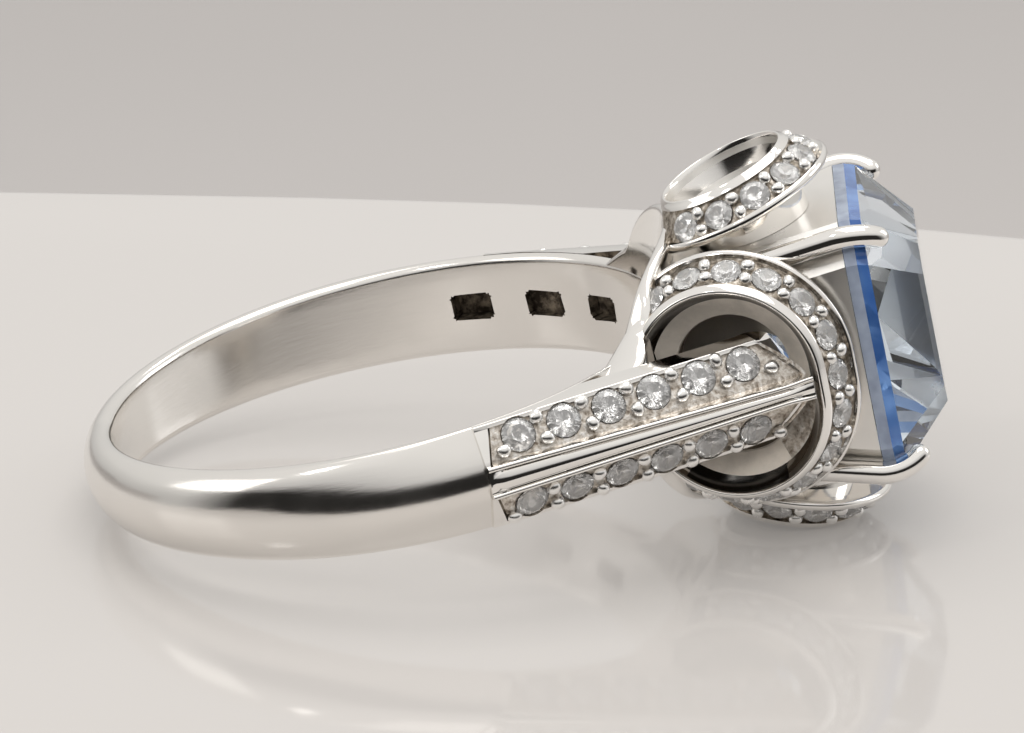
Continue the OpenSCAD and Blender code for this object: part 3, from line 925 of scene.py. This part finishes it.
verts, faces = [], []
for up in (1, -1):
    v, f = lathe([gallery_row(-48 + 1.5 * i, up) for i in range(65)], False)
    faces += [tuple(i + len(verts) for i in face) for face in f]
    verts += v
gallery = to_mesh("gallery_plate", verts, faces, [POLISH, DARK], [0] * len(faces), 50)
slots = []
for sy in (-1, 1):
    for sz in (-1, 1):
        v, f = lathe(rounded_box(3, 0.36, 0.74, 0.1, sy + 3 * sz), False)
        slots.append((put(Matrix.Translation((9, 1.6 * sy, 2.5 * sz)), v), f, 1))
cutter = joined("cutter", slots, [POLISH, DARK])
cut(gallery, cutter, 50)
drop(cutter)
done(gallery, "gallery_plate")

# the basket is the CAD body, in the brushed finish of the end loops' walls
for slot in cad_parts["basket"].material_slots:
    slot.material = WALLS

# ---------------------------------------------------------------- floor, light, camera
FLOOR = min((o.matrix_world @ v.co).dot(UP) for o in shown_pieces() for v in o.data.vertices)
ACROSS = Vector((math.cos(TABLE_TILT), 0, -math.sin(TABLE_TILT)))
BACK = Vector((0, 1, 0))
STAGE = frame_of((0, 0, 0), ACROSS, BACK, UP)


def stage_mat(name, colour, rough, spec, glow=0.0):
    """A plain, slightly cloudy surface for the stage; glow stands for light from outside the set."""
    m, t, s = tree(name)
    s.inputs["Roughness"].default_value = rough
    s.inputs["Specular IOR Level"].default_value = spec
    s.inputs["Emission Color"].default_value = (1, 0.965, 0.93, 1)
    s.inputs["Emission Strength"].default_value = glow
    cloud = noise(t, 9, 3)
    low = tuple(c * 0.97 for c in colour)
    drive(t, s, "Base Color", cloud, [(0.3, low), (0.7, colour)])
    return m


def slab(name, outline, top, thick, r, m):
    """A table top with a rounded edge all round its outline."""
    n = len(outline)
    rows = []
    turns = [PI / 2 * i / 8 for i in range(9)]
    steps = [(0, -thick)] + [(r * (1 - math.cos(t)), -r + r * math.sin(t)) for t in turns]
    for off, z in steps:
        row = []
        for i in range(n):
            a, b, c = (Vector(outline[(i + k) % n]) for k in (-1, 0, 1))
            e, g = (b - a).normalized(), (c - b).normalized()
            inward = (Vector((-e.y, e.x)) + Vector((-g.y, g.x))).normalized()
            q = b + inward * off
            row.append((q.x, q.y, top + z))
        rows.append(row)
    v, f = lathe(rows, False)
    return to_mesh(name, put(STAGE, v), f, [m], angle=30)


def ribbon(name, rows, m, angle=40):
    """An open sheet through pairs of points."""
    faces = [(2 * k, 2 * k + 1, 2 * k + 3, 2 * k + 2) for k in range(len(rows) - 1)]
    return to_mesh(name, put(STAGE, [p for row in rows for p in row]), faces, [m], angle=angle)


TABLE = stage_mat("table_gloss", (0.49, 0.466, 0.447), 0.08, 0.3, 0.125)
WALL = stage_mat("backdrop_grey", (0.494, 0.473, 0.462), 0.9, 0.0)
# the table's outline: straight on the left and in front, curved on the right and at the back
outline = [(-17, -21), (70, -21), (75, -15), (75, 18), (32, 27.6), (21.3, 30.5), (16, 32.1), (10, 33.4)]
outline += [(3, 34.4), (-4, 35), (-17, 35.3), (-20, 31), (-20, -17)]
top = slab("stage_table", outline, FLOOR / MM, 7, 2.4, TABLE)
low = FLOOR / MM - 60
curve = ((36, 0), (380, 0), (430, 8), (460, 30))
wall = ribbon("stage_backdrop", [[(x, y, low + up) for x in (-700, 700)] for y, up in curve], WALL)
# a curved screen behind the camera, for the views from the far side: no light or reflection meets it
turns = [math.radians(176 + 188 * k / 48) for k in range(49)]
rows = [[(320 * math.cos(t), 320 * math.sin(t), z) for z in (300, -260)] for t in turns]
screen = ribbon("stage_screen", rows, stage_mat("screen_grey", (0.02, 0.02, 0.02), 0.9, 0.0, 0.53), 60)
screen.visible_diffuse = screen.visible_glossy = screen.visible_transmission = screen.visible_shadow = False
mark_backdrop(top, wall, screen)


def area(name, where, aim, size, power, colour):
    """A rectangular lamp, its place and aim in millimetres on the stage."""
    lamp = bpy.data.lights.new(name, "AREA")
    lamp.shape = "RECTANGLE"
    lamp.size, lamp.size_y = size[0] * MM, size[1] * MM
    lamp.energy = power
    lamp.color = colour
    o = bpy.data.objects.new(name, lamp)
    bpy.context.scene.collection.objects.link(o)
    at, to = (STAGE @ Vector(where)) * MM, (STAGE @ Vector(aim)) * MM
    o.location = at
    o.rotation_euler = (to - at).to_track_quat("-Z", "Y").to_euler()
    return o


area("soft_top", (20, 30, 300), (0, 0, 0), (300, 200), 0.24, (1, 0.985, 0.96))
area("soft_left", (-330, -60, 170), (0, 0, 0), (200, 160), 0.13, (1, 0.98, 0.95))
area("soft_right", (300, 120, 150), (8, 0, 0), (160, 160), 0.1, (0.96, 0.98, 1))
area("spark_left", (-150, -120, 240), (8, 0, 0), (34, 34), 0.035, (1, 0.99, 0.97))
area("spark_back", (90, 150, 230), (8, 0, 0), (30, 30), 0.03, (1, 0.99, 0.97))
fill = area("front_fill", (-30, -280, 220), (8, 0, 0), (220, 120), 0.2, (1, 0.98, 0.95))
fill.visible_glossy = False
area("wash_backdrop", (0, 120, 120), (0, 330, -40), (300, 80), 0.12, (1, 0.98, 0.96))

# a light tent, dark low down in front, which the band reflects as a black line
world = bpy.data.worlds.new("studio")
bpy.context.scene.world = world
world.use_nodes = True
wt = world.node_tree
for n in list(wt.nodes):
    wt.nodes.remove(n)
out = node(wt, "ShaderNodeOutputWorld")
bg = node(wt, "ShaderNodeBackground")
coord = node(wt, "ShaderNodeTexCoord")
dot = node(wt, "ShaderNodeVectorMath", operation="DOT_PRODUCT")
dot.inputs[1].default_value = UP
wt.links.new(coord.outputs["Generated"], dot.inputs[0])
half = node(wt, "ShaderNodeMath", operation="MULTIPLY_ADD")
half.inputs[1].default_value = 0.5
half.inputs[2].default_value = 0.5
wt.links.new(dot.outputs["Value"], half.inputs[0])
tent = ramp(wt, half.outputs["Value"], [
    (0.0, (0.44, 0.43, 0.42)), (0.48, (0.54, 0.53, 0.515)),
    (0.62, (0.74, 0.73, 0.71)), (1.0, (0.88, 0.865, 0.845)),
])
gap = ramp(wt, half.outputs["Value"], [
    (0.0, (0.03, 0.028, 0.026)), (0.45, (0.02, 0.019, 0.018)), (0.61, (0.022, 0.021, 0.02)),
    (0.68, (0.58, 0.57, 0.56)), (0.84, (0.85, 0.84, 0.82)), (1.0, (0.88, 0.865, 0.845)),
])
front = node(wt, "ShaderNodeVectorMath", operation="DOT_PRODUCT")
front.inputs[1].default_value = (0, -1, 0)
wt.links.new(coord.outputs["Generated"], front.inputs[0])
where = ramp(wt, front.outputs["Value"], [(0.12, 0.0), (0.5, 1.0)])
sky = node(wt, "ShaderNodeMix", data_type="RGBA")
wt.links.new(where.outputs["Color"], sky.inputs[0])
wt.links.new(tent.outputs["Color"], sky.inputs[6])
wt.links.new(gap.outputs["Color"], sky.inputs[7])
wt.links.new(sky.outputs[2], bg.inputs["Color"])
bg.inputs["Strength"].default_value = 1.0
wt.links.new(bg.outputs["Background"], out.inputs["Surface"])

# camera: turn, height angle, distance and focal length, aimed at a point on the stage
AZ, EL, DIST, FOCAL = math.radians(0.992), math.radians(18.457), 202.24, 231.17
AIM = Vector((3.675, 0, 1.229))
cam = bpy.data.cameras.new("camera")
cam.sensor_width, cam.lens = 36, FOCAL
cam.clip_start, cam.clip_end = 0.01, 5
camera = bpy.data.objects.new("camera", cam)
bpy.context.scene.collection.objects.link(camera)
stage = STAGE.to_3x3()
back = Vector((math.sin(AZ) * math.cos(EL), -math.cos(AZ) * math.cos(EL), math.sin(EL)))
right = Vector((math.cos(AZ), math.sin(AZ), 0))
up = back.cross(right)
place = (AIM + back * DIST) * MM
camera.matrix_world = frame_of(stage @ place, stage @ right, stage @ up, stage @ back)
bpy.context.scene.camera = camera
bpy.context.scene.view_settings.view_transform = "Standard"
